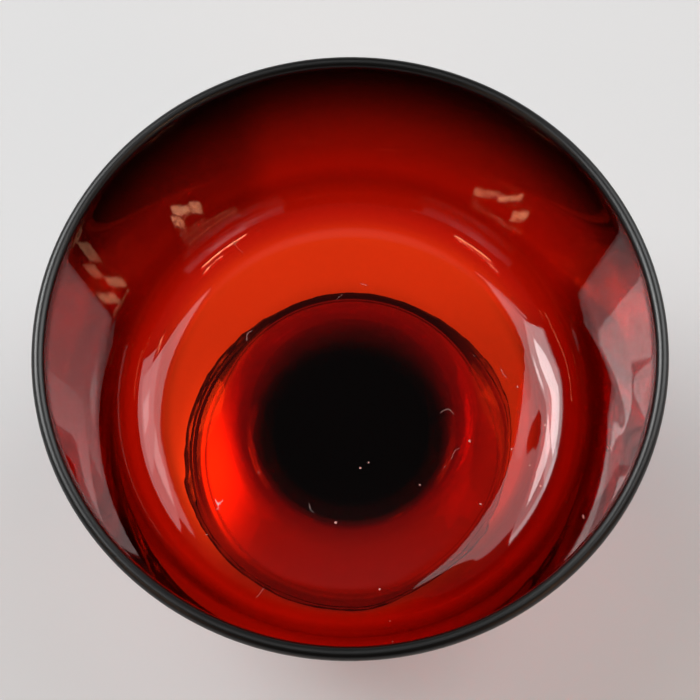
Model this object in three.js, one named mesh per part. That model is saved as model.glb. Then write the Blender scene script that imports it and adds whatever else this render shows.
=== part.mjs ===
// A low champagne sherbet glass in ruby glass: a bowl with a leaning wall, a round heel and a level floor, a short
// drawn stem that flares at both ends, and a broad round foot. The three gathers of glass are joined hot, flat end
// to flat end.
// Millimetres, +Z up. The origin is the centre of the circle that the foot stands on.
import * as THREE from "three";

// Whole glass
const overallHeight = 67;
const facetsRound = 64;

// Bowl
const rimDiameter = 95;
const rimThickness = 2; // the fire-polished lip is a half circle of this width
const bowlDepth = 37; // from the lip to the inside of the bowl's floor
const floorThickness = 3; // of the bowl's floor, away from the stem
const insideLean = 11.5; // degrees from upright
const outsideLean = 10.5; // less than inside, so that the wall grows thicker towards the heel
const insideHeelRadius = 9;
const outsideHeelRadius = 12;
const wallSteps = 4;
const heelSteps = 10;
const lipSteps = 6;

// The boss under the bowl, where the stem is joined
const bossDiameter = 45; // where the boss starts to grow out of the bowl's floor
const bossDrop = 1.3; // from there down to the joint
const bossSteps = 4;

// Stem
const stemTopDiameter = 35;
const stemWaistDiameter = 18;
const stemBaseDiameter = 26;
const stemWaistShare = 0.42; // the waist's place, as a share of the stem's height from its base
const baseFlareShare = 0.2; // how far up from the base to the waist the lower flare's pull lies
const topFlareShare = 0.62; // how far up from the waist to the bowl the upper flare's pull lies
const stemSteps = 7;

// Foot
const footDiameter = 63;
const footEdgeThickness = 2.4;
const footCrown = 5.5; // height of the foot's middle, where the stem is joined
const footSweep = 9; // width of the curve from the stem's joint out to the foot's upper face
const footSlope = 1; // rise of the upper face from the band along its edge to that curve
const footBandWidth = 2.4; // the rounded band along the foot's edge, half of an ellipse
const footBandStep = 0.3; // from the top of that band down to the upper face
const standingRingWidth = 6; // the flat ring that the glass stands on, which starts at the band
const underDome = 1.2; // hollow under the foot's middle
const footSteps = 5;
const bandSteps = 6;

// Heights and radii that follow from the sizes above
const rimRadius = rimDiameter / 2;
const lipRadius = rimThickness / 2;
const shoulderHeight = overallHeight - lipRadius; // where the lip's half circle starts
const insideFloor = overallHeight - bowlDepth;
const outsideFloor = insideFloor - floorThickness;
const stemTopRadius = stemTopDiameter / 2;
const stemWaistRadius = stemWaistDiameter / 2;
const stemBaseRadius = stemBaseDiameter / 2;
const footRadius = footDiameter / 2;

// Finish
const rubyBowl = new THREE.MeshStandardMaterial({ color: 0xb01206, roughness: 0.04, metalness: 0 });
const rubyStem = new THREE.MeshStandardMaterial({ color: 0x300403, roughness: 0.04, metalness: 0 });
const rubyFoot = new THREE.MeshStandardMaterial({ color: 0x8c0f08, roughness: 0.05, metalness: 0 });

// Points of a curve between its two ends, which the stretches beside it already hold.
function between(curve, steps) {
  return curve.getPoints(steps).slice(1, -1);
}

// A leaning wall and a round heel that ends level, in (radius, height) points from the lip down and in.
function wallAndHeel(lipEnd, leanDegrees, heelRadius, floorHeight) {
  const lean = THREE.MathUtils.degToRad(leanDegrees);
  const centreHeight = floorHeight + heelRadius;
  const wallAtCentre = lipEnd - (shoulderHeight - centreHeight) * Math.tan(lean);
  const centreRadius = wallAtCentre - heelRadius / Math.cos(lean);
  const heel = new THREE.EllipseCurve(
    centreRadius,
    centreHeight,
    heelRadius,
    heelRadius,
    -lean,
    -Math.PI / 2,
    true,
  );
  const wall = new THREE.LineCurve(new THREE.Vector2(lipEnd, shoulderHeight), heel.getPoint(0));
  return [...wall.getPoints(wallSteps).slice(0, -1), ...heel.getPoints(heelSteps)];
}

const outsideCurve = wallAndHeel(rimRadius, outsideLean, outsideHeelRadius, outsideFloor);
const insideCurve = wallAndHeel(
  rimRadius - rimThickness,
  insideLean,
  insideHeelRadius,
  insideFloor,
);
const bossTop = new THREE.Vector2(bossDiameter / 2, outsideFloor);
const bowlJoint = outsideFloor - bossDrop; // height of the face where the bowl and the stem meet

// Joint face and boss first, then up the outside, over the lip and down the inside.
function bowlProfile() {
  const jointEdge = new THREE.Vector2(stemTopRadius, bowlJoint);
  const boss = new THREE.QuadraticBezierCurve(
    jointEdge,
    new THREE.Vector2((stemTopRadius + bossTop.x) / 2, bossTop.y),
    bossTop,
  );
  const lip = new THREE.EllipseCurve(
    rimRadius - lipRadius,
    shoulderHeight,
    lipRadius,
    lipRadius,
    0,
    Math.PI,
  );
  return [
    new THREE.Vector2(0, bowlJoint),
    jointEdge,
    ...between(boss, bossSteps),
    bossTop,
    ...outsideCurve.toReversed(),
    ...between(lip, lipSteps),
    ...insideCurve,
    new THREE.Vector2(0, insideFloor),
  ];
}

// A drawn stem: it flares from its waist to the two ends that are joined to the foot and to the bowl.
function stemProfile() {
  const waist = new THREE.Vector2(
    stemWaistRadius,
    footCrown + (bowlJoint - footCrown) * stemWaistShare,
  );
  const base = new THREE.Vector2(stemBaseRadius, footCrown);
  const top = new THREE.Vector2(stemTopRadius, bowlJoint);
  const lower = new THREE.QuadraticBezierCurve(
    base,
    new THREE.Vector2(stemWaistRadius, base.y + (waist.y - base.y) * baseFlareShare),
    waist,
  );
  const upper = new THREE.QuadraticBezierCurve(
    waist,
    new THREE.Vector2(stemWaistRadius, waist.y + (top.y - waist.y) * topFlareShare),
    top,
  );
  return [
    new THREE.Vector2(0, footCrown),
    base,
    ...between(lower, stemSteps),
    waist,
    ...between(upper, stemSteps),
    top,
    new THREE.Vector2(0, bowlJoint),
  ];
}

// A disc with a rounded band along its edge, a fine step inside the band and a crown in the middle. It is
// hollowed a little below, so that it stands on a flat ring.
function footProfile() {
  const edgeRadius = footEdgeThickness / 2;
  const bandInner = footRadius - footBandWidth;
  const ringInner = bandInner - standingRingWidth;
  const crownEdge = new THREE.Vector2(stemBaseRadius, footCrown);
  const stepEnd = new THREE.Vector2(bandInner - footBandStep, footEdgeThickness - footBandStep);
  const sweepEnd = new THREE.Vector2(stemBaseRadius + footSweep, stepEnd.y + footSlope);
  const dome = new THREE.QuadraticBezierCurve(
    new THREE.Vector2(0, underDome),
    new THREE.Vector2(ringInner / 2, underDome),
    new THREE.Vector2(ringInner, 0),
  );
  const band = new THREE.EllipseCurve(
    bandInner,
    edgeRadius,
    footBandWidth,
    edgeRadius,
    -Math.PI / 2,
    Math.PI / 2,
  );
  const sweep = new THREE.QuadraticBezierCurve(
    sweepEnd,
    new THREE.Vector2(stemBaseRadius + footSweep / 3, sweepEnd.y + footSlope / 2),
    crownEdge,
  );
  return [
    ...dome.getPoints(footSteps),
    ...band.getPoints(bandSteps),
    stepEnd,
    ...sweep.getPoints(footSteps),
    new THREE.Vector2(0, footCrown),
  ];
}

// Turns a profile of (radius, height) points round the glass's upright axis.
function turned(name, profile, material) {
  const geometry = new THREE.LatheGeometry(profile, facetsRound);
  geometry.rotateX(Math.PI / 2);
  const mesh = new THREE.Mesh(geometry, material);
  mesh.name = name;
  return mesh;
}

const glass = new THREE.Group();
glass.add(turned("bowl", bowlProfile(), rubyBowl));
glass.add(turned("stem", stemProfile(), rubyStem));
glass.add(turned("foot", footProfile(), rubyFoot));

export default glass;
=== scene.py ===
"""A low champagne sherbet glass in ruby glass: bowl, stem and foot, seen from above on a pale floor.

Lengths are in metres, +Z is up, and the glass stands on the origin.
"""

import math

import bpy
from mathutils import Matrix, Vector


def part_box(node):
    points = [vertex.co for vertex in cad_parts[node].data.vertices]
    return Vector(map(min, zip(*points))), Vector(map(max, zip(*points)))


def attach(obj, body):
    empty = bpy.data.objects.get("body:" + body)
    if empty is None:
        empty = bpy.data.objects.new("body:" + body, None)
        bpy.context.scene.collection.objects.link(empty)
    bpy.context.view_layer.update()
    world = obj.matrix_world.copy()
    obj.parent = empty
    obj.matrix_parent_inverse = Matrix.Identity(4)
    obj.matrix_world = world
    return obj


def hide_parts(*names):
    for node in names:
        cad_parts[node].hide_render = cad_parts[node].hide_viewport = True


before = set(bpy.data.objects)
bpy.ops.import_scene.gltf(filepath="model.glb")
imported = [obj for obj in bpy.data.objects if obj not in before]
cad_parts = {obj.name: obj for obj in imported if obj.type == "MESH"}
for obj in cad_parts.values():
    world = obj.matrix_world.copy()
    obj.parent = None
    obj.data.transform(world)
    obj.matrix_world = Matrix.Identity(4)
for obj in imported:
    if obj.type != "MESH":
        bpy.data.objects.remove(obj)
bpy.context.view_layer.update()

MM = 0.001

# Sizes that the frame gives
bowl_low, bowl_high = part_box("bowl")
stem_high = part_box("stem")[1]
foot_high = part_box("foot")[1]
RIM_RADIUS = bowl_high[0]
RIM_HEIGHT = bowl_high[2]
BOWL_JOINT = bowl_low[2]  # height of the face where the bowl and the stem meet
FOOT_JOINT = foot_high[2]  # height of the face where the stem and the foot meet
STEM_TOP_RADIUS = stem_high[0]
FOOT_RADIUS = foot_high[0]

# Bowl
RIM_THICKNESS = 2 * MM
BOWL_DEPTH = 37 * MM
FLOOR_THICKNESS = 3 * MM
INSIDE_LEAN = 11.5  # degrees from upright
OUTSIDE_LEAN = 10.5
INSIDE_HEEL_RADIUS = 9 * MM
OUTSIDE_HEEL_RADIUS = 12 * MM
BOSS_RADIUS = 22.5 * MM
INSIDE_FLOOR = RIM_HEIGHT - BOWL_DEPTH  # height of the bowl's floor
OUTSIDE_FLOOR = INSIDE_FLOOR - FLOOR_THICKNESS

# The swelling: the bowl's floor rises a little along its right side, before the heel
SWELLING = 0.7 * MM
SWELLING_OFFSET = 5 * MM  # its inner edge is a circle whose centre lies this far to the left
SWELLING_START = 31.5 * MM  # from that centre
SWELLING_END = 37.2 * MM
SWELLING_TOWARDS = (0.87, -0.5)  # the level direction from the axis to its middle
SWELLING_SIDE_START = 19 * MM  # along that direction
SWELLING_SIDE_END = 29 * MM

# Stem
STEM_WAIST_RADIUS = 9 * MM
STEM_BASE_RADIUS = 13 * MM
STEM_WAIST_SHARE = 0.42  # the waist's place, as a share of the stem's height
BASE_FLARE_SHARE = 0.2
TOP_FLARE_SHARE = 0.62

# Foot
FOOT_EDGE_THICKNESS = 2.4 * MM
FOOT_SWEEP = 9 * MM
FOOT_SLOPE = 1 * MM
BAND_WIDTH = 2.4 * MM
BAND_STEP = 0.3 * MM
BAND_INNER = FOOT_RADIUS - BAND_WIDTH
RING_WIDTH = 6 * MM
UNDER_DOME = 1.2 * MM
WAVES_REACH = 1.5 * MM  # how far in from the foot's edge its waves go
WAVES_DEPTH = 0.6 * MM
WAVES_LENGTH = 2.5 * MM

# A hair's breadth between the joined faces, so that light leaves one gather before it enters the next
JOINT_GAP = 0.01 * MM

# Fineness of the meshes
ROUND = 192  # steps round the glass
BEND_STEPS = 12
TOP_FLARE_STEPS = 20
WALL_STEPS = 16
HEEL_STEPS = 30
LIP_STEPS = 14
FLOOR_EDGE_STEPS = 11
FLOOR_EDGE_STEP = 0.5 * MM
FLOOR_SHARES = (0.75, 0.6, 0.4, 0.2, 0)  # rings on the rest of the floor, as shares of its radius
DOME_STEPS = 16
BAND_STEPS = 24
MERGE_DISTANCE = 0.001 * MM
SHARPEST_SMOOTH = math.radians(15)  # edges that turn more than this stay crisp


# Outlines: lists of (radius, height)

def bend(start, pull, end, steps=BEND_STEPS):
    """A smooth curve from start to end that leans towards pull."""
    points = []
    for i in range(steps + 1):
        t = i / steps
        points.append(tuple(
            (1 - t) ** 2 * a + 2 * t * (1 - t) * b + t * t * c for a, b, c in zip(start, pull, end)
        ))
    return points


def arc(centre, across, up, first, last, steps):
    """Part of an ellipse, between two angles in degrees from the outward direction."""
    points = []
    for i in range(steps + 1):
        angle = math.radians(first + (last - first) * i / steps)
        points.append((centre[0] + across * math.cos(angle), centre[1] + up * math.sin(angle)))
    return points


def wall_and_heel(lip_end, lean_degrees, heel_radius, floor_height):
    """A leaning wall and a round heel that ends level, from the lip down and in."""
    shoulder = RIM_HEIGHT - RIM_THICKNESS / 2
    lean = math.radians(lean_degrees)
    centre_height = floor_height + heel_radius
    wall_there = lip_end - (shoulder - centre_height) * math.tan(lean)
    centre = (wall_there - heel_radius / math.cos(lean), centre_height)
    heel = arc(centre, heel_radius, heel_radius, -lean_degrees, -90, HEEL_STEPS)
    wall = []
    for i in range(WALL_STEPS):
        t = i / WALL_STEPS
        wall.append((lip_end + (heel[0][0] - lip_end) * t, shoulder + (heel[0][1] - shoulder) * t))
    return wall + heel


def bowl_outline():
    """From the joint under the boss, up the outside, over the lip and down to the middle of the floor."""
    joint = BOWL_JOINT + JOINT_GAP
    face = [(0, joint), (STEM_TOP_RADIUS / 2, joint)]
    pull = ((STEM_TOP_RADIUS + BOSS_RADIUS) / 2, OUTSIDE_FLOOR)
    boss = bend((STEM_TOP_RADIUS, joint), pull, (BOSS_RADIUS, OUTSIDE_FLOOR))
    outside = wall_and_heel(RIM_RADIUS, OUTSIDE_LEAN, OUTSIDE_HEEL_RADIUS, OUTSIDE_FLOOR)
    lip_radius = RIM_THICKNESS / 2
    lip_centre = (RIM_RADIUS - lip_radius, RIM_HEIGHT - lip_radius)
    lip = arc(lip_centre, lip_radius, lip_radius, 0, 180, LIP_STEPS)
    inside = wall_and_heel(RIM_RADIUS - RIM_THICKNESS, INSIDE_LEAN, INSIDE_HEEL_RADIUS, INSIDE_FLOOR)
    heel_end = inside[-1][0]
    floor = [(heel_end - FLOOR_EDGE_STEP * i, INSIDE_FLOOR) for i in range(1, FLOOR_EDGE_STEPS + 1)]
    floor += [(heel_end * share, INSIDE_FLOOR) for share in FLOOR_SHARES]
    return face + boss + outside[::-1] + lip[1:-1] + inside + floor


def stem_outline():
    """From the middle of the stem's base, up its two flares, to the middle of its top."""
    low = FOOT_JOINT + JOINT_GAP
    high = BOWL_JOINT - JOINT_GAP
    waist = (STEM_WAIST_RADIUS, low + (high - low) * STEM_WAIST_SHARE)
    base_pull = (STEM_WAIST_RADIUS, low + (waist[1] - low) * BASE_FLARE_SHARE)
    top_pull = (STEM_WAIST_RADIUS, waist[1] + (high - waist[1]) * TOP_FLARE_SHARE)
    base_face = [(0, low), (STEM_BASE_RADIUS / 2, low)]
    lower = bend((STEM_BASE_RADIUS, low), base_pull, waist)
    upper = bend(waist, top_pull, (STEM_TOP_RADIUS, high), TOP_FLARE_STEPS)
    top_face = [(STEM_TOP_RADIUS / 2, high), (0, high)]
    return base_face + lower + upper[1:] + top_face


def foot_outline():
    """From the middle of the underside, over the standing ring and the rounded band, to the joint."""
    joint = FOOT_JOINT - JOINT_GAP
    ring_inner = BAND_INNER - RING_WIDTH
    step_end = (BAND_INNER - BAND_STEP, FOOT_EDGE_THICKNESS - BAND_STEP)
    sweep_end = (STEM_BASE_RADIUS + FOOT_SWEEP, step_end[1] + FOOT_SLOPE)
    sweep_pull = (STEM_BASE_RADIUS + FOOT_SWEEP / 3, sweep_end[1] + FOOT_SLOPE / 2)
    dome = bend((0, UNDER_DOME), (ring_inner / 2, UNDER_DOME), (ring_inner, 0), DOME_STEPS)
    half_edge = FOOT_EDGE_THICKNESS / 2
    band = arc((BAND_INNER, half_edge), BAND_WIDTH, half_edge, -90, 90, BAND_STEPS)
    sweep = bend(sweep_end, sweep_pull, (STEM_BASE_RADIUS, joint))
    return dome + band + [step_end] + sweep + [(STEM_BASE_RADIUS / 2, joint), (0, joint)]


# Shaping

def turned(name, outline):
    """Draws a half outline point by point and spins it round the upright axis into one closed body."""
    bpy.ops.object.select_all(action="DESELECT")
    start_radius, start_height = outline[0]
    bpy.ops.mesh.primitive_plane_add(size=MM, location=(start_radius, 0, start_height))
    piece = bpy.context.object
    piece.name = name
    bpy.ops.object.mode_set(mode="EDIT")
    bpy.ops.mesh.merge(type="CENTER")
    for before, after in zip(outline, outline[1:]):
        step = (after[0] - before[0], 0, after[1] - before[1])
        bpy.ops.mesh.extrude_region_move(TRANSFORM_OT_translate={"value": step})
    bpy.ops.mesh.select_all(action="SELECT")
    bpy.ops.mesh.spin(steps=ROUND, angle=2 * math.pi, center=(0, 0, 0), axis=(0, 0, 1), use_auto_merge=True)
    bpy.ops.mesh.select_all(action="SELECT")
    bpy.ops.mesh.remove_doubles(threshold=MERGE_DISTANCE)
    bpy.ops.mesh.normals_make_consistent(inside=False)
    bpy.ops.object.mode_set(mode="OBJECT")
    bpy.ops.object.transform_apply(location=True, rotation=True, scale=True)
    bpy.ops.object.shade_smooth_by_angle(angle=SHARPEST_SMOOTH)
    return piece


def smooth_step(value, low, high):
    """0 below low, 1 above high, and smooth between."""
    share = min(max((value - low) / (high - low), 0), 1)
    return share * share * (3 - 2 * share)


def swell_floor(piece):
    """Raises the bowl's floor and heel a little on the right, where the real floor starts to rise early."""
    swollen = piece.vertex_groups.new(name="swollen")
    wall_facing = math.sin(math.radians(INSIDE_LEAN))
    for v in piece.data.vertices:
        facing_up = (v.normal.z - wall_facing) / (1 - wall_facing)
        if facing_up > 0 and v.co.z < RIM_HEIGHT - BOWL_DEPTH / 2:
            from_centre = math.hypot(v.co.x + SWELLING_OFFSET, v.co.y)
            to_side = SWELLING_TOWARDS[0] * v.co.x + SWELLING_TOWARDS[1] * v.co.y
            share = smooth_step(from_centre, SWELLING_START, SWELLING_END)
            share *= smooth_step(to_side, SWELLING_SIDE_START, SWELLING_SIDE_END) * facing_up
            swollen.add([v.index], share, "REPLACE")
    swell = piece.modifiers.new("swell", "DISPLACE")
    swell.direction = "NORMAL"
    swell.vertex_group = swollen.name
    swell.mid_level = 0.0
    swell.strength = SWELLING
    bpy.ops.object.modifier_apply(modifier=swell.name)


def waver_edge(piece):
    """Draws the foot's fire-polished edge in and out a little, never past its full size."""
    edge = piece.vertex_groups.new(name="edge")
    waves_start = FOOT_RADIUS - WAVES_REACH
    points = [v.index for v in piece.data.vertices if math.hypot(v.co.x, v.co.y) > waves_start]
    edge.add(points, 1.0, "REPLACE")
    waves = bpy.data.textures.new("edge_waves", "CLOUDS")
    waves.noise_scale = WAVES_LENGTH
    waver = piece.modifiers.new("waver", "DISPLACE")
    waver.texture = waves
    waver.texture_coords = "LOCAL"
    waver.vertex_group = edge.name
    waver.mid_level = 1.0
    waver.strength = WAVES_DEPTH
    bpy.ops.object.modifier_apply(modifier=waver.name)


# Materials

class Number:
    """A number that a node gives out. Arithmetic on it adds the Math nodes."""

    def __init__(self, finish, socket):
        self.finish = finish
        self.socket = socket

    def maths(self, operation, first, second=0.0):
        node = self.finish.add("ShaderNodeMath", {"operation": operation}, {0: first, 1: second})
        return Number(self.finish, node.outputs[0])

    def __add__(self, other):
        return self.maths("ADD", self, other)

    def __radd__(self, other):
        return self.maths("ADD", other, self)

    def __sub__(self, other):
        return self.maths("SUBTRACT", self, other)

    def __rsub__(self, other):
        return self.maths("SUBTRACT", other, self)

    def __mul__(self, other):
        return self.maths("MULTIPLY", self, other)

    def __rmul__(self, other):
        return self.maths("MULTIPLY", other, self)

    def __truediv__(self, other):
        return self.maths("DIVIDE", self, other)

    def __neg__(self):
        return self.maths("MULTIPLY", self, -1.0)

    def exp(self):
        return self.maths("EXPONENT", self)

    def root(self):
        return self.maths("SQRT", self)

    def bell(self):
        """1 at zero, falling to nothing about 2 on either side."""
        return (-(self * self)).exp()

    def rise(self, low, high):
        """0 below low, 1 above high, and smooth between."""
        node = self.finish.add(
            "ShaderNodeMapRange",
            {"interpolation_type": "SMOOTHSTEP"},
            {"Value": self, "From Min": low, "From Max": high},
        )
        return Number(self.finish, node.outputs[0])

    def span(self, start, full, fading, end):
        """1 from full to fading, 0 below start and above end, and smooth between."""
        return self.rise(start, full) * (1 - self.rise(fading, end))


class Finish:
    """A material and the nodes in it."""

    def __init__(self, name):
        self.material = bpy.data.materials.new(name)
        self.material.use_nodes = True
        self.tree = self.material.node_tree
        self.tree.nodes.clear()
        self.output = self.add("ShaderNodeOutputMaterial")

    def add(self, kind, settings=None, sockets=None):
        """Adds a node, with its settings first and then the values or links of its sockets."""
        node = self.tree.nodes.new(kind)
        for name, value in (settings or {}).items():
            setattr(node, name, value)
        for name, value in (sockets or {}).items():
            if isinstance(value, Number):
                value = value.socket
            if isinstance(value, bpy.types.NodeSocket):
                self.tree.links.new(value, node.inputs[name])
            else:
                node.inputs[name].default_value = value
        return node

    def place(self):
        """The Object coordinates as three numbers and as one vector."""
        vector = self.add("ShaderNodeTexCoord").outputs["Object"]
        split = self.add("ShaderNodeSeparateXYZ", sockets={0: vector})
        return [Number(self, out) for out in split.outputs], vector

    def noise(self, place, scale, detail):
        """A cloudy pattern between 0 and 1."""
        node = self.add("ShaderNodeTexNoise", sockets={"Vector": place, "Scale": scale, "Detail": detail})
        return Number(self, node.outputs["Fac"])

    def cells(self, place, scale):
        """Scattered cells: the distance from each one's seed, and its own three random numbers."""
        node = self.add(
            "ShaderNodeTexVoronoi",
            {"voronoi_dimensions": "3D", "feature": "F1"},
            {"Vector": place, "Scale": scale},
        )
        split = self.add("ShaderNodeSeparateColor", sockets={0: node.outputs["Color"]})
        return Number(self, node.outputs["Distance"]), [Number(self, out) for out in split.outputs]

    def mixed(self, share, first, second):
        """A colour that goes from first to second as share goes from 0 to 1."""
        node = self.add("ShaderNodeMix", {"data_type": "RGBA"}, {"Factor": share, 6: first, 7: second})
        return node.outputs[2]

    def surface(self, shader):
        self.tree.links.new(shader.outputs[0], self.output.inputs["Surface"])

    def volume(self, shader):
        self.tree.links.new(shader.outputs[0], self.output.inputs["Volume"])


# Glass
RUBY = (0.99, 0.44, 0.01, 1)
DARK_RUBY = (0.7, 0.02, 0.01, 1)
PALE_RUBY = (0.99, 0.72, 0.3, 1)
RUBY_DENSITY = 1900  # of the absorption, per metre
GLASS_INDEX = 1.5
GLASS_ROUGHNESS = 0.02
LIP_ROUGHNESS = 0.3  # on top of that, at the lip
POLISH_INDEX = 1.7
POLISH_ROUGHNESS = 0.01
RIPPLE_SCALE = 90  # per metre
BOWL_RIPPLE = 0.002 * MM
STEM_RIPPLE = 0.02 * MM
FOOT_RIPPLE = 0.04 * MM

# Dust
DUST_COLOUR = (0.8, 0.5, 0.45, 1)
DUST_ROUGHNESS = 0.9
GRAIN_SCALE = 700  # cells per metre, one grain at most in each
GRAIN_SIZE = 0.17  # of the largest, in cells
FIBRE_PATCH_SCALE = 130
FIBRE_CURL_SCALE = 320
FIBRE_WIDTH = 0.006  # as a step of the curly pattern
FIBRE_STRENGTH = 0.7

# Depths of the bowl's tint and of the shade painted into it, where 1 lets a third of the light through
RIM_TINT = 6.3
RIM_FADE = 7.5  # millimetres under the rim for each step to a third
HEEL_TINT = 0.7
WALL_FOOT_TINT = 0.4
# These seven are painted shade: they darken the far heel, the heel and wall at the sides (the right heel
# more) and the far left of the wall
FAR_HEEL_PAINTED_SHADE = 0.3
SIDE_HEEL_PAINTED_SHADE = 0.5
RIGHT_HEEL_PAINTED_SHADE = 0.3
SIDE_WALL_PAINTED_SHADE = 1.5
UPPER_SIDE_PAINTED_SHADE = 1.0
LOWER_SIDE_PAINTED_SHADE = 1.0
FAR_LEFT_PAINTED_SHADE = 0.6
BOSS_TINT = 1.1
GREEN_LOST = 0.8  # from the heel up
BOWL_POLISH = 0.9
LESS_POLISH_RIGHT = 0.3

# Depths of the foot's tint and of the shade painted into it
FOOT_EDGE_TINT = 0.3
# Painted shade, darkest far off and on the left of the rolled edge
FAR_EDGE_PAINTED_SHADE = 2.2
# Tint of the thin line inside the edge, with painted shade added far off and on the left
FOOT_LINE_TINT_AND_SHADE = 0.9


def ruby_glass(name, skin, absorbed, ripple, dusty_floor=False):
    """Ruby glass, with absorbed as the tint of its body.

    skin gives three things for a place on the surface: how deep the tint and any painted shade are, what
    share of green and blue is left in it, and how much clear polish lies over it.
    """
    finish = Finish(name)
    (x, y, z), place = finish.place()
    radius = (x * x + y * y).root()
    darkness, green, polish = skin(x, y, z, radius)
    lip = z.rise(RIM_HEIGHT - 2.5 * MM, RIM_HEIGHT - 0.5 * MM)
    clear = (-darkness).exp()
    colour = finish.add("ShaderNodeCombineColor", sockets={0: clear, 1: clear * green, 2: clear * green})
    dust = dust_specks(finish, place, x, y, z) if dusty_floor else 0.0
    height = finish.noise(place, RIPPLE_SCALE, 1.0) * ripple
    bump = finish.add("ShaderNodeBump", sockets={"Strength": 1.0, "Distance": 1.0, "Height": height})
    glass = finish.add(
        "ShaderNodeBsdfPrincipled",
        sockets={
            "Normal": bump.outputs[0],
            "Base Color": finish.mixed(dust, colour.outputs[0], DUST_COLOUR),
            "Metallic": dust,
            "Roughness": GLASS_ROUGHNESS + dust * DUST_ROUGHNESS + lip * LIP_ROUGHNESS,
            "IOR": GLASS_INDEX,
            "Transmission Weight": 1.0,
            "Coat Weight": polish,
            "Coat Roughness": POLISH_ROUGHNESS,
            "Coat IOR": POLISH_INDEX,
        },
    )
    finish.surface(glass)
    body = finish.add("ShaderNodeVolumeAbsorption", sockets={"Color": absorbed, "Density": RUBY_DENSITY})
    finish.volume(body)
    return finish.material


def dust_specks(finish, place, x, y, z):
    """Grains of dust and a few short fibres that lie on the floor of the bowl, most of them in front."""
    from_seed, chances = finish.cells(place, GRAIN_SCALE)
    size = chances[0].rise(0.8, 1.0) * GRAIN_SIZE
    front = 0.35 + 0.65 * (0.6 * x - y).rise(-5 * MM, 20 * MM)
    grain = 1 - (from_seed - size * front).rise(-0.02, 0.0)
    from_middle, chances = finish.cells(place, FIBRE_PATCH_SCALE)
    chosen = chances[1].rise(0.72, 0.75)
    close = 1 - from_middle.rise(0.16, 0.22)
    curl = ((finish.noise(place, FIBRE_CURL_SCALE, 0.0) - 0.5) / FIBRE_WIDTH).bell()
    fibre = curl * chosen * close
    up = z - INSIDE_FLOOR
    lying = up.span(-0.3 * MM, -0.1 * MM, 2 * MM, 4 * MM)
    return (grain + FIBRE_STRENGTH * fibre) * lying


def bowl_skin(x, y, z, radius):
    """Deepest at the rim, with painted shade on the wall's sides, its far left and the heel, and clearest on
    the level floor.
    """
    below = (RIM_HEIGHT - z) / MM  # millimetres under the rim
    right = x.rise(0, 20 * MM)
    far = y.rise(8 * MM, 22 * MM)
    near = (-y).rise(30 * MM, 40 * MM)
    sides = (1 - far) * (1 - near)
    far_left = (-x).rise(12 * MM, 20 * MM) * far
    wall = 1 - below.rise(29, 36)
    rim = RIM_TINT * (-below / RIM_FADE).exp()
    heel = HEEL_TINT * radius.rise(35 * MM, 41 * MM)
    wall_foot = WALL_FOOT_TINT * below.rise(27, 30) * wall
    # Painted shade: darkening on the far heel, the heel and wall at the sides, more on the right heel, and
    # the far left of the wall
    far_heel_shade = FAR_HEEL_PAINTED_SHADE * far * radius.span(33.5 * MM, 35 * MM, 38 * MM, 41 * MM)
    side_heel_shade = (SIDE_HEEL_PAINTED_SHADE + RIGHT_HEEL_PAINTED_SHADE * right) * sides
    side_heel_shade *= radius.span(30 * MM, 33 * MM, 36 * MM, 38 * MM)
    side_wall_shade = SIDE_WALL_PAINTED_SHADE * below.rise(3, 9)
    side_wall_shade += UPPER_SIDE_PAINTED_SHADE * below.span(3, 9, 17, 22)
    side_wall_shade += LOWER_SIDE_PAINTED_SHADE * below.span(21.5, 25, 26.5, 29)
    side_wall_shade *= sides * wall
    far_left_wall_shade = FAR_LEFT_PAINTED_SHADE * far_left * wall
    boss = BOSS_TINT * (1 - radius.rise(13 * MM, 25 * MM))
    darkness = rim + heel + wall_foot + far_heel_shade + side_heel_shade + side_wall_shade + far_left_wall_shade + boss
    green = 1 - GREEN_LOST * radius.rise(31 * MM, 37 * MM)
    polish = (BOWL_POLISH - LESS_POLISH_RIGHT * right) * below.span(1.5, 3, 20, 26)
    return darkness, green, polish


def stem_skin(x, y, z, radius):
    """A little deeper towards the bowl."""
    return 0.2 * z.rise(0, RIM_HEIGHT), 1.0, 0.0


def foot_skin(x, y, z, radius):
    """The rolled edge and a thin line inside it are deeper in colour, and painted shade darkens them far off
    and on the left.
    """
    # Painted shade: a mask for the far left, where the edge and the line are darkened
    far_left_painted_shade = (0.8 * y - 0.5 * x).rise(-6 * MM, 14 * MM)
    edge = radius.rise(BAND_INNER - 1.3 * MM, BAND_INNER - 0.7 * MM)
    line = ((radius - BAND_INNER + 2 * MM) / (0.25 * MM)).bell()
    darkness = (FOOT_EDGE_TINT + FAR_EDGE_PAINTED_SHADE * far_left_painted_shade) * edge
    darkness += FOOT_LINE_TINT_AND_SHADE * (0.3 + far_left_painted_shade) * line
    return darkness, 1.0, 0.0


def dress(piece, material, node):
    """Gives a piece its material, and puts it in the place of its CAD node."""
    piece.data.materials.clear()
    piece.data.materials.append(material)
    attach(piece, "root")
    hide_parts(node)


# Camera
FOCAL_PIXELS = 1591
PICTURE_PIXELS = 700
SENSOR = 36
CAMERA_DISTANCE = 5 * RIM_RADIUS
CAMERA_ELEVATION = math.radians(70.8)
CAMERA_PITCH = math.radians(0.36)
CAMERA_ROLL = math.radians(-1)
NEAREST_SEEN = 10 * MM


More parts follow.
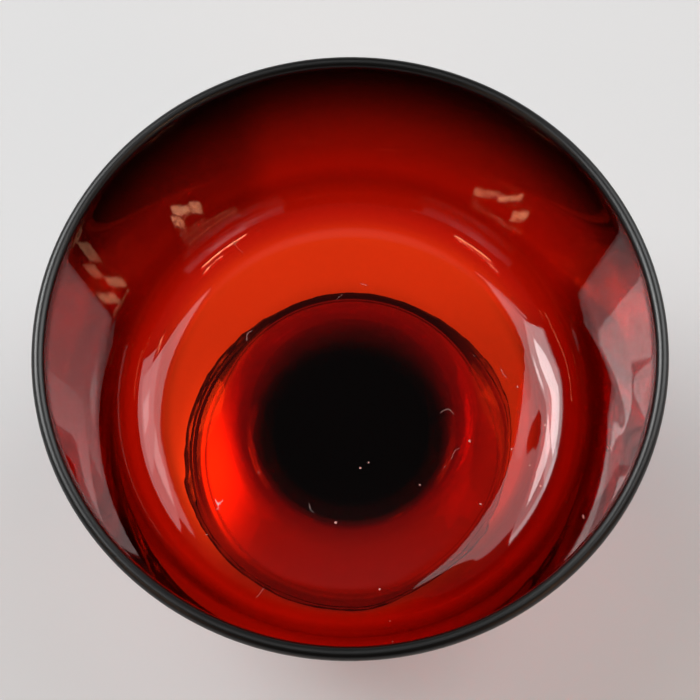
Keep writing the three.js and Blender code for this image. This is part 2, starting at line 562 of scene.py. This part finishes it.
def make_camera():
    """The photograph's viewpoint, in front of the glass and high above it."""
    lens = bpy.data.cameras.new("camera")
    lens.lens = SENSOR * FOCAL_PIXELS / PICTURE_PIXELS
    lens.sensor_width = SENSOR
    lens.clip_start = NEAREST_SEEN
    camera = bpy.data.objects.new("camera", lens)
    bpy.context.collection.objects.link(camera)
    rim_plane = RIM_HEIGHT - RIM_THICKNESS / 2
    camera.location = (
        0,
        -CAMERA_DISTANCE * math.cos(CAMERA_ELEVATION),
        rim_plane + CAMERA_DISTANCE * math.sin(CAMERA_ELEVATION),
    )
    tilt = Matrix.Rotation(math.pi / 2 - CAMERA_ELEVATION - CAMERA_PITCH, 4, "X")
    roll = Matrix.Rotation(CAMERA_ROLL, 4, "Z")
    camera.rotation_euler = (tilt @ roll).to_euler()
    bpy.context.scene.camera = camera


# Room
LIGHT_LEVEL = 0.63
WHITE = (1, 1, 1)
WARM = (1, 0.5, 0.27)
WINDOW_DISTANCE = 900 * MM
LAYER = 10 * MM  # how much nearer a brighter pane hangs than the one behind it
FLOOR_SIZE = 6
FLOOR_DROP = 0.1 * MM  # below the glass, so that the two never touch
COOL_PAPER = (0.51, 0.516, 0.52, 1)
# Painted shadow: a warmer, slightly darker paper colour for the glass's red-tinted shadow towards the front
# right
PAINTED_SHADOW_PAPER = (0.557, 0.497, 0.468, 1)
PAPER_GLOW = 0.16
GLOW_THROUGH_GLASS = 0.04  # on top of that
POOL_BRIGHTNESS = 2.3
POOL_PLACE = (-25 * MM, -2 * MM)
POOL_REACH = (5 * MM, 11 * MM)  # across and along, to where a third of its light is left
ROOM_LEVELS = ((0.12, 0.7), (0.34, 0.04), (0.97, 0.05), (1, 0.3))  # sines of the elevation, and brightness


def hang_pane(name, first, last, low, high, brightness, layer=0, colour=WHITE):
    """An upright lamp between two azimuths and two elevations in degrees, as seen from the glass.

    Its radiance is brightness times LIGHT_LEVEL.
    """
    distance = WINDOW_DISTANCE - layer * LAYER
    middle = math.radians((first + last) / 2)
    bottom = distance * math.tan(math.radians(low))
    top = distance * math.tan(math.radians(high))
    lamp = bpy.data.lights.new(name, "AREA")
    lamp.shape = "RECTANGLE"
    lamp.size = 2 * distance * math.tan(math.radians(last - first) / 2)
    lamp.size_y = top - bottom
    lamp.color = colour
    lamp.energy = LIGHT_LEVEL * brightness * math.pi * lamp.size * lamp.size_y
    pane = bpy.data.objects.new(name, lamp)
    bpy.context.collection.objects.link(pane)
    height = RIM_HEIGHT - BOWL_DEPTH / 2 + (bottom + top) / 2
    pane.location = (distance * math.cos(middle), distance * math.sin(middle), height)
    facing = Vector((-math.cos(middle), -math.sin(middle), 0))
    pane.rotation_euler = facing.to_track_quat("-Z", "Y").to_euler()


def hang_windows():
    """A window on either side behind the glass, with brighter panes in front, and a slit beside the left one.

    Each row is a name, two azimuths, two elevations, the brightness and the layer.
    """
    for row in (
        ("right_window", 9, 52, 22, 76, 3.9, 0),
        ("right_window_edge", 4, 9, 22, 44, 3.9, 0),
        ("right_window_bright", 10, 38, 32, 58, 2.2, 1),
        ("right_window_core", 19, 28, 36, 48, 4, 2),
        ("right_window_side", 38, 51, 46, 59, 4.5, 3),
        ("right_window_upper", 52, 58, 42, 66, 3, 0),
        ("left_window", 122, 177, 30, 76, 4, 0),
        ("left_window_upper", 107, 122, 46, 68, 3, 0),
        ("left_window_bright", 136, 176, 32, 63, 4.5, 1),
        ("left_window_core", 143, 163, 38, 53, 16, 2),
        ("left_window_side", 126, 142, 48, 60, 13, 3),
        ("left_window_low", 122, 146, 30, 37, 5, 3),
        ("left_slit", 179, 182, 54, 75, 4.5, 0),
    ):
        hang_pane(*row)


def hang_lamps():
    """Small warm lamps. Their mirror images are the fine arcs over the heel and the squiggles on the wall.

    Each row is a name, two azimuths, two elevations and the brightness.
    """
    for row in (
        ("lamp_front_right", -51, -31, 33, 35, 38),
        ("lamp_front_right_hook", -34, -28.5, 43.8, 44.2, 60),
        ("lamp_front_right_leg", -38, -34.5, 43.55, 44.1, 60),
        ("lamp_front_right_base", -30.5, -27, 44.3, 44.85, 60),
        ("lamp_front_left", -148, -132, 37, 39, 26),
        ("lamp_front_left_leg", -137, -134.5, 43.15, 43.45, 60),
        ("lamp_front_left_bar", -143, -137, 43.3, 43.5, 60),
        ("lamp_front_left_bar_end", -150.5, -143, 43.55, 43.8, 60),
        ("lamp_front_left_base", -154.5, -149.5, 44.35, 44.85, 60),
        ("lamp_right", 0.3, 3.5, 45.6, 46.6, 14),
        ("lamp_right_middle", 3, 6, 46.8, 47.5, 14),
        ("lamp_right_slat", -2, 3, 47.5, 48, 26),
        ("lamp_right_slat_high", 3.2, 8.5, 48.4, 48.9, 26),
    ):
        hang_pane(*row, colour=WARM)


def make_floor():
    """Pale paper. Its glow shows to the camera, in mirrors and through the glass, and a bright pool of light
    under the left of the foot shows only through the glass.
    """
    bpy.ops.object.select_all(action="DESELECT")
    bpy.ops.mesh.primitive_plane_add(size=FLOOR_SIZE, location=(0, 0, -FLOOR_DROP))
    floor = bpy.context.object
    floor.name = "floor"
    finish = Finish("floor_paper")
    (x, y, z), place = finish.place()
    # Painted shadow: the paper turns warmer and a little darker towards the front right, where the glass's
    # red-tinted shadow falls
    warm = (0.55 * x - 0.85 * y).rise(20 * MM, 120 * MM)
    paper_colour = finish.mixed(warm, COOL_PAPER, PAINTED_SHADOW_PAPER)
    paper = finish.add("ShaderNodeBsdfDiffuse", sockets={"Color": paper_colour})
    path = finish.add("ShaderNodeLightPath").outputs
    through = Number(finish, path["Is Transmission Ray"])
    to_camera = Number(finish, path["Is Camera Ray"])
    mirrored = Number(finish, path["Is Glossy Ray"])
    seen = (to_camera + mirrored + through).rise(0, 1)
    across = (x - POOL_PLACE[0]) / POOL_REACH[0]
    along = (y - POOL_PLACE[1]) / POOL_REACH[1]
    straight = 1 - Number(finish, path["Glossy Depth"]).rise(0, 1)
    pool = across.bell() * along.bell() * straight
    strength = seen * PAPER_GLOW + through * (GLOW_THROUGH_GLASS + pool * POOL_BRIGHTNESS)
    glow = finish.add("ShaderNodeEmission", sockets={"Color": (*WHITE, 1), "Strength": strength})
    finish.surface(finish.add("ShaderNodeAddShader", sockets={0: paper.outputs[0], 1: glow.outputs[0]}))
    floor.data.materials.append(finish.material)


def make_world():
    """A room that is pale along the horizon, dark above it and dim overhead."""
    world = bpy.data.worlds.new("studio")
    bpy.context.scene.world = world
    world.use_nodes = True
    tree = world.node_tree
    split = tree.nodes.new("ShaderNodeSeparateXYZ")
    tree.links.new(tree.nodes.new("ShaderNodeTexCoord").outputs["Generated"], split.inputs[0])
    ramp = tree.nodes.new("ShaderNodeValToRGB")
    ramp.color_ramp.interpolation = "EASE"
    stops = ramp.color_ramp.elements
    stops.remove(stops[0])
    for height, level in ROOM_LEVELS[:-1]:
        stops.new(height)
    for stop, (height, level) in zip(stops, ROOM_LEVELS):
        stop.position = height
        stop.color = (level, level, level, 1)
    tree.links.new(split.outputs["Z"], ramp.inputs[0])
    tree.links.new(ramp.outputs[0], tree.nodes["Background"].inputs["Color"])


make_camera()
make_world()
make_floor()
hang_windows()
hang_lamps()

bowl_glass = turned("bowl_glass", bowl_outline())
swell_floor(bowl_glass)
bowl_finish = ruby_glass("ruby_bowl", bowl_skin, RUBY, BOWL_RIPPLE, dusty_floor=True)
dress(bowl_glass, bowl_finish, "bowl")

stem_glass = turned("stem_glass", stem_outline())
stem_finish = ruby_glass("ruby_stem", stem_skin, DARK_RUBY, STEM_RIPPLE)
dress(stem_glass, stem_finish, "stem")

foot_glass = turned("foot_glass", foot_outline())
waver_edge(foot_glass)
foot_finish = ruby_glass("ruby_foot", foot_skin, PALE_RUBY, FOOT_RIPPLE)
dress(foot_glass, foot_finish, "foot")

bpy.context.scene.view_settings.view_transform = "Standard"
